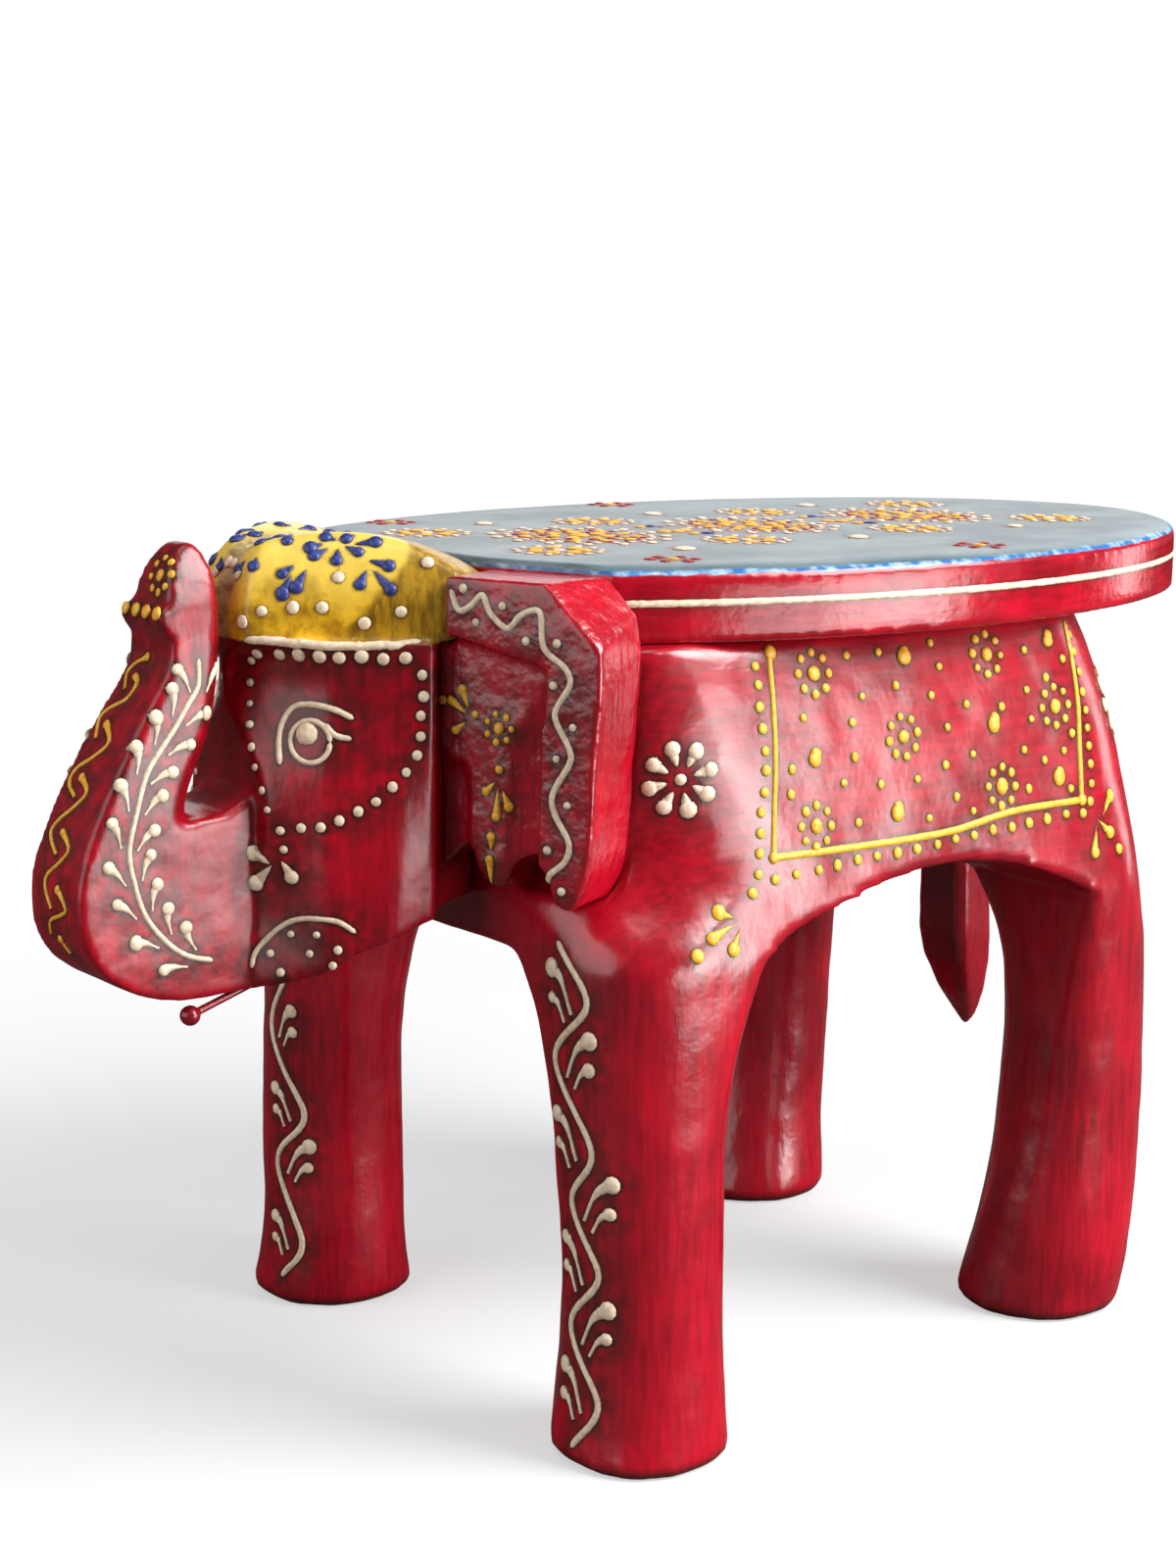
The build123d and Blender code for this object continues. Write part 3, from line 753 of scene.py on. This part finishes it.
class Board:     # the nodes of one material
    def __init__(self, name):
        self.material = bpy.data.materials.new(name)
        self.material.use_nodes = True
        self.tree = self.material.node_tree
        self.tree.nodes.clear()
        self.spot = self.node("ShaderNodeTexCoord", {}, {}, "Object")
        self.height = self.place("Z")     # above the floor

    def node(self, kind, settings, inputs, output=0):
        made = self.tree.nodes.new(kind)
        for name, value in settings.items():
            setattr(made, name, value)
        for key, value in inputs.items():
            if isinstance(value, Signal):
                self.tree.links.new(value.socket, made.inputs[key])
            else:
                made.inputs[key].default_value = value
        return Signal(self, made.outputs[output])

    def place(self, axis):     # in mm
        return self.node("ShaderNodeSeparateXYZ", {}, {0: self.spot}, axis) * 1000

    def noise(self, size, stretch=(1, 1, 1), detail=2.0, roughness=0.5):     # size in mm
        scale = tuple(1000 / (size * along) for along in stretch)
        placed = self.node("ShaderNodeMapping", {}, {"Vector": self.spot, "Scale": scale})
        return self.node("ShaderNodeTexNoise", {}, {"Vector": placed, "Scale": 1.0, "Detail": detail,
                                                    "Roughness": roughness})

    def patches(self, size, low, high, stretch=(1, 1, 1), **kind):     # noise, 0 under low and 1 over high
        return self.noise(size, stretch, **kind).fade(low, high)

    def mix(self, first, second, factor):
        def colour(value):
            return value if isinstance(value, Signal) else (*value, 1)
        return self.node("ShaderNodeMix", {"data_type": "RGBA"}, {0: factor, 6: colour(first), 7: colour(second)}, 2)

    def attribute(self, name):
        return self.node("ShaderNodeAttribute", {"attribute_name": name}, {}, "Fac")

    def finish(self, colour, roughness, relief, **fixed):     # relief is in mm
        bump = self.node("ShaderNodeBump", {}, {"Height": relief, "Distance": mm, "Strength": 1.0})
        inputs = {"Base Color": colour, "Roughness": roughness, "Normal": bump, **fixed}
        shader = self.node("ShaderNodeBsdfPrincipled", {}, inputs)
        self.output(shader)
        return self.material

    def output(self, shader):
        made = self.tree.nodes.new("ShaderNodeOutputMaterial")
        self.tree.links.new(shader.socket, made.inputs["Surface"])


# looks: patches are given as size, low and high, and ragged edges as size, sway, start and end, all in mm
brown = (0.030, 0.008, 0.005)
brushMarks = {"ridge": (2.6, 0.10), "lump": (7, 0.16), "dab": (2.2, 0.06)}     # size and height in mm
upright, lengthwise = (1, 1, 9), (1, 9, 1)     # ways that the brush went


def brushRelief(board, along, strength):     # lumps and brush ridges of thick paint, in mm
    (ridgeSize, ridge), (lumpSize, lump), (dabSize, dab) = brushMarks.values()
    ridges = board.noise(ridgeSize, along, 3.0, 0.6) * ridge
    return (ridges + board.noise(lumpSize) * lump + board.noise(dabSize, detail=1.0) * dab) * strength


redLook = {
    "deep": (0.20, 0.001, 0.007), "bright": (0.56, 0.002, 0.018),
    "blotches": (38, 0.3, 0.72), "streaks": (1.8, 0.25, 0.75), "streakShare": 0.45,
    "worn": (0.62, 0.09, 0.12), "wornPatches": (3.5, 0.38, 0.6), "wear": 0.4,
    "edges": (0.53, 0.62), "hollows": (0.40, 0.49), "hollow": 0.6,     # from how bent the surface is; the brown in hollows is antique wash and painted shade
    "washSway": (1.3, 1.4), "washNear": (-0.1, 1.3), "wash": 0.85,
    "washFar": (0.5, washLimit), "washPatches": (5, 0.32, 0.62), "washSpread": 0.65,
    "gloss": (9, 0.16, 0.16),     # size of the patches, least roughness and how much is added
    "reflection": 1.65, "soles": (0.5, 5), "soleDarkening": 0.85,
}


def redPaint(board, along, look):
    share = look["streakShare"]
    tone = board.patches(*look["blotches"], detail=3.0) * (1 - share) + board.patches(*look["streaks"], along) * share
    colour = board.mix(look["deep"], look["bright"], tone)
    bent = board.node("ShaderNodeNewGeometry", {}, {}, "Pointiness")     # over a half on edges, under it in hollows
    # pink on sharp edges: worn paint, partly a painted highlight
    worn = bent.fade(*look["edges"]) * board.patches(*look["wornPatches"], detail=3.0)
    colour = board.mix(colour, look["worn"], worn * look["wear"])
    # brown in hollows: antique wash, and painted shade where creases fall dark
    hollow = 1 - bent.fade(*look["hollows"])
    return board.mix(colour, brown, hollow * look["hollow"])


# the feet turn darker towards the bottom, within a few mm of the floor
def darkenNearFloor(board, colour, look):
    return board.mix(colour, brown, (1 - board.height.fade(*look["soles"])) * look["soleDarkening"])


def washOver(board, colour, look):     # brown rubbed round the raised paint
    size, sway = look["washSway"]
    gap = board.attribute("wash") + board.noise(size) * sway - sway / 2
    near = 1 - gap.fade(*look["washNear"])
    far = (1 - gap.fade(*look["washFar"])) * board.patches(*look["washPatches"], detail=3.0)
    return board.mix(board.mix(colour, brown, far * look["washSpread"]), brown, near * look["wash"])


def gloss(board, look):
    size, least, more = look["gloss"]
    return least + board.noise(size, detail=3.0) * more


def redLacquer(name, along, relief, **changes):
    look = {**redLook, **changes}
    board = Board(name)
    colour = washOver(board, redPaint(board, along, look), look)
    return board.finish(colour, gloss(board, look), brushRelief(board, along, relief), IOR=look["reflection"])


bodyLook = {"back": (140, 165), "backWash": -0.4, "backRelief": 0.6, "legRelief": 1.0}


def bodyLacquer(body):
    board = Board("bodyLacquer")
    upper = board.height.fade(*body["back"])     # 0 on the legs and 1 on the back
    look = {**redLook, "washSpread": redLook["washSpread"] + body["backWash"] * upper}
    red = board.mix(redPaint(board, upright, look), redPaint(board, lengthwise, look), upper)
    colour = washOver(board, darkenNearFloor(board, red, look), look)
    onBack = brushRelief(board, lengthwise, body["backRelief"])
    onLegs = brushRelief(board, upright, body["legRelief"])
    relief = onBack * upper + onLegs * (1 - upper)
    return board.finish(colour, gloss(board, look), relief, IOR=look["reflection"])


headLook = {**redLook, "washFar": (0.5, 12), "gloss": (9, 0.20, 0.16)}     # a little brown stays all over the head
headRelief = 0.8
crownLook = {
    "foot": (5, 0.8, 235.3, 236.1), "behindTrunk": (-163.2, -162.0),
    "ochre": (0.46, 0.22, 0.006), "yellow": (0.93, 0.53, 0.02), "patches": (8, 0.36, 0.6),
    "gold": (0.95, 0.66, 0.10), "goldEdge": (16, 20, 250, 268),
    "groovePale": (0.66, 0.50, 0.26), "grooveBrown": (0.24, 0.14, 0.07), "grooveEdge": (8, 8, 7, 10), "groove": 0.85,
    "scribble": (3, 0.45, 0.6), "scribbled": 0.8,
    "shade": (0.46, 0.24, 0.008), "shadeStreak": (0.10, 0.034, 0.004), "shaded": 0.85,
    "shadeStreaks": (2.4, 0.4, 0.62), "streaked": 0.8,
    "ridgeEdge": (9, 5, -137, -134), "ridgeSlope": 0.89, "ridgeFoot": 237,     # the far side of the crown is darker
    "wash": 0.45, "washNear": (-0.1, 0.7), "washSpread": 0.15,
}


def crownPaint(board, crown):
    tone = board.patches(*crown["patches"], detail=4.0, roughness=0.65)
    high = board.height.ragged(*crown["goldEdge"], detail=3.0)
    gold = board.mix(board.mix(crown["ochre"], crown["yellow"], tone), crown["gold"], high)
    fromMiddle = board.node("ShaderNodeMath", {"operation": "ABSOLUTE"}, {0: board.place("X")})
    scribble = board.patches(*crown["scribble"], (3, 1, 1), detail=4.0, roughness=0.7)
    groove = board.mix(crown["groovePale"], crown["grooveBrown"], scribble * crown["scribbled"])
    gold = board.mix(gold, groove, (1 - fromMiddle.ragged(*crown["grooveEdge"])) * crown["groove"])
    behind = board.place("Y") - (board.height - crown["ridgeFoot"]) * crown["ridgeSlope"]
    streaks = board.patches(*crown["shadeStreaks"], (1, 1, 4), detail=4.0, roughness=0.7)
    shade = board.mix(crown["shade"], crown["shadeStreak"], streaks * crown["streaked"])
    return board.mix(gold, shade, behind.ragged(*crown["ridgeEdge"], detail=3.0) * crown["shaded"])


def headLacquer(look, crown):
    board = Board("headLacquer")
    red = washOver(board, redPaint(board, upright, look), look)
    yellow = washOver(board, crownPaint(board, crown), {**look, **crown})
    onCrown = board.height.ragged(*crown["foot"]) * board.place("Y").fade(*crown["behindTrunk"])
    relief = brushRelief(board, upright, headRelief)
    return board.finish(board.mix(red, yellow, onCrown), gloss(board, look), relief)


seatLook = {
    **redLook, "slate": ((0.09, 0.14, 0.165), (0.19, 0.25, 0.27)), "slatePatches": (22, 0.3, 0.7),
    "rub": (0.15, 0.045, 0.035), "rubbed": 0.75, "rubEdge": (4, 2.6, 0.8, 5.0),     # brown-red round the raised paint
    "rim": ((0.03, 0.16, 0.42), (0.36, 0.52, 0.66)), "rimPatches": (4, 0.4, 0.7), "rimEdge": (9, 1.6, 255.9, 256.5),
    "topEdge": (5, 1.2, 254.6, 255.1), "sideStrokes": (9, 9, 1), "topStrokes": (1, 6, 1), "relief": 0.8,
    "wash": 0.5, "washSpread": 0.2, "gloss": (12, 0.24, 0.16), "rimGloss": 0.12,
}


def seatLacquer(look):
    board = Board("seatLacquer")
    red = washOver(board, redPaint(board, look["sideStrokes"], look), look)
    slate = board.mix(*look["slate"], board.patches(*look["slatePatches"], (1, 2.5, 1), detail=4.0))
    rubbed = 1 - board.attribute("wash").ragged(*look["rubEdge"])
    slate = board.mix(slate, look["rub"], rubbed * look["rubbed"])
    # blue paint over the rounded rim, its paler blue a painted highlight
    rim = 1 - board.height.ragged(*look["rimEdge"], detail=3.0)
    slate = board.mix(slate, board.mix(*look["rim"], board.patches(*look["rimPatches"])), rim)
    onTop = board.height.ragged(*look["topEdge"], stretch=(1, 1, 2))
    roughness = gloss(board, look) - rim * look["rimGloss"]
    relief = brushRelief(board, look["topStrokes"], look["relief"])
    return board.finish(board.mix(red, slate, onTop), roughness, relief)


beadLook = {"tones": (1.7, 0.35, 0.75), "foot": (0.9, 0.16, 0.12, 0.42), "footDirt": 0.85,
            "gloss": (2.0, 0.28, 0.14), "dabs": (0.9, 0.1)}     # dabs: size and height


def beadPaint(name, bright, deep, dark, look=beadLook):     # the dark colour is dirt round the foot of each bead
    board = Board(name)
    tone = board.mix(bright, deep, board.patches(*look["tones"]))
    foot = 1 - board.attribute("lift").ragged(*look["foot"])
    (glossSize, least, more), (dabSize, dab) = look["gloss"], look["dabs"]
    roughness = least + board.noise(glossSize) * more
    return board.finish(board.mix(tone, dark, foot * look["footDirt"]), roughness, board.noise(dabSize) * dab)


woodLook = {"pale": (0.50, 0.30, 0.15), "dark": (0.30, 0.16, 0.07), "rings": (1.4, 0.3, 0.7), "roughness": 0.62,
            "ringRoughness": 0.15, "ringDepth": 0.1}
steelLook = {"pale": (0.42, 0.42, 0.43), "dark": (0.22, 0.20, 0.19), "scratchSize": 0.8, "scratched": (0.4, 0.7),
             "roughness": 0.30, "scratchRoughness": 0.25, "scratchDepth": 0.03}


def bareWood(look):
    board = Board("bareWood")
    rings = board.patches(*look["rings"], (1, 12, 1), detail=3.0)
    roughness = look["roughness"] + rings * look["ringRoughness"]
    return board.finish(board.mix(look["pale"], look["dark"], rings), roughness, rings * look["ringDepth"])


def nailSteel(look):
    board = Board("nailSteel")
    scratches = board.noise(look["scratchSize"], (1, 1, 8), 3.0)
    colour = board.mix(look["pale"], look["dark"], scratches.fade(*look["scratched"]))
    roughness = look["roughness"] + scratches * look["scratchRoughness"]
    return board.finish(colour, roughness, scratches * look["scratchDepth"], Metallic=1.0)


def dress(piece, material):
    piece.data.materials.clear()
    piece.data.materials.append(material)


# the ears get more of the pink edges, a painted sheen on their lumpy rims
earLacquer = redLacquer("earLacquer", upright, 2.6, washSpread=0.6, wear=0.85)
# painted shade: a darker copy of the red for the tail and the jaw peg, which sit in shade under the body and jaw
shadeDarkLacquer = redLacquer("shadeDarkLacquer", upright, 0.7, deep=(0.17, 0.002, 0.008), bright=(0.36, 0.005, 0.016))
finishes = {"bodyCoat": bodyLacquer(bodyLook), "headCoat": headLacquer(headLook, crownLook),
            "seatCoat": seatLacquer(seatLook), "leftEarCoat": earLacquer, "rightEarCoat": earLacquer,
            "tailCoat": shadeDarkLacquer, "pegCoat": shadeDarkLacquer}
for coatName, material in finishes.items():
    dress(coats[coatName], material)

paintColours = {     # bright, deep and dirty
    "cream": beadPaint("creamPaint", (0.92, 0.76, 0.56), (0.74, 0.52, 0.36), (0.22, 0.085, 0.045)),
    "yellow": beadPaint("yellowPaint", (0.95, 0.51, 0.045), (0.80, 0.33, 0.012), (0.26, 0.07, 0.008)),
    "blue": beadPaint("bluePaint", (0.035, 0.055, 0.26), (0.018, 0.025, 0.12), (0.010, 0.010, 0.03)),
    "red": beadPaint("redBeadPaint", (0.52, 0.022, 0.018), (0.34, 0.010, 0.012), (0.05, 0.006, 0.006)),
}
for (coatName, colour), paint in paints.items():
    dress(paint, paintColours[colour])

wood, steel = bareWood(woodLook), nailSteel(steelLook)
hiddenFinishes = {"neck_dowels": wood, "ear_dowels": wood, "tail_dowel": wood, "seat_nails": steel}
for node, material in hiddenFinishes.items():
    dress(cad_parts[node], material)
print("materials done")


# floor, light and camera
stageSettings = {
    "floorSize": 8.0, "floorColour": 0.86, "floorForLight": 0.09, "skyForLight": 0.09,
    "fade": (0.22, 0.6), "whiteNear": 0.5,     # the floor turns white between these distances in metres
    "panels": {     # place, size, watts
        "key": ((0.98, 0.68, 1.12), (0.9, 0.8), 35),
        "rightWindow": ((1.19, 0.66, 0.28), (0.56, 0.48), 6.5),
        "lowGlow": ((0.72, 0.22, 0.11), (0.5, 0.2), 1.9),
        "rearWindow": ((0.24, 1.52, 0.26), (0.3, 0.44), 1.6),
        "backWall": ((-1.6, 1.45, 1.00), (2.2, 1.1), 10),
        "ceiling": ((0.35, -0.1, 1.8), (0.8, 0.8), 5),
        "frontFill": ((-0.25, -1.75, 0.80), (2.2, 1.8), 23),
    },
    "aim": (0.0, 0.0, 0.15),
}
cameraSettings = {"place": (0.6339, -0.5354, 0.3314), "heading": 51.19, "tilt": 10.61, "roll": 0.61, "lens": 60.58}


def makeFloor(stage):
    bpy.ops.object.select_all(action="DESELECT")
    bpy.ops.mesh.primitive_plane_add(size=stage["floorSize"])
    floor = bpy.context.object
    floor.name = "floor"
    board = Board("floorPaint")
    seen = board.node("ShaderNodeLightPath", {}, {}, "Is Camera Ray")
    pale = [stage["floorColour"]] * 3
    colour = board.mix([stage["floorForLight"]] * 3, pale, seen)
    grey = board.node("ShaderNodeBsdfDiffuse", {}, {"Color": colour})
    glow = board.node("ShaderNodeEmission", {}, {"Color": (1, 1, 1, 1), "Strength": 1.0})
    distance = board.node("ShaderNodeVectorMath", {"operation": "LENGTH"}, {0: board.spot}, "Value")
    near = stage["whiteNear"]
    white = seen * (near + distance.fade(*stage["fade"]) * (1 - near))
    board.output(board.node("ShaderNodeMixShader", {}, {0: white, 1: grey, 2: glow}))
    dress(floor, board.material)


def makeWorld(stage):
    world = bpy.data.worlds.new("studio")
    bpy.context.scene.world = world
    world.use_nodes = True
    tree = world.node_tree
    backdrop = tree.nodes["Background"]
    ray = tree.nodes.new("ShaderNodeLightPath")
    level = tree.nodes.new("ShaderNodeMapRange")
    level.inputs["To Min"].default_value = stage["skyForLight"]
    level.inputs["To Max"].default_value = 1.0
    tree.links.new(ray.outputs["Is Camera Ray"], level.inputs["Value"])
    tree.links.new(level.outputs[0], backdrop.inputs["Strength"])
    backdrop.inputs["Color"].default_value = (1, 1, 1, 1)


def makePanels(stage):
    for name, (place, size, watts) in stage["panels"].items():
        bpy.ops.object.light_add(type="AREA", location=place)
        panel = bpy.context.object
        panel.name = name
        panel.data.shape = "RECTANGLE"
        panel.data.size, panel.data.size_y = size
        panel.data.energy = watts
        panel.visible_camera = False
        panel.rotation_euler = (Vector(place) - Vector(stage["aim"])).to_track_quat("Z", "Y").to_euler()


def makeCamera(view):
    bpy.ops.object.camera_add(location=view["place"])
    camera = bpy.context.object
    turned = (Matrix.Rotation(math.radians(view["heading"]), 4, "Z")
              @ Matrix.Rotation(math.radians(90 - view["tilt"]), 4, "X")
              @ Matrix.Rotation(math.radians(view["roll"]), 4, "Z"))
    camera.matrix_world = Matrix.Translation(view["place"]) @ turned
    camera.data.lens = view["lens"]
    camera.data.sensor_width = 36
    bpy.context.scene.camera = camera


makeFloor(stageSettings)
makeWorld(stageSettings)
makePanels(stageSettings)
makeCamera(cameraSettings)
bpy.context.scene.view_settings.view_transform = "Standard"
print("stage set")
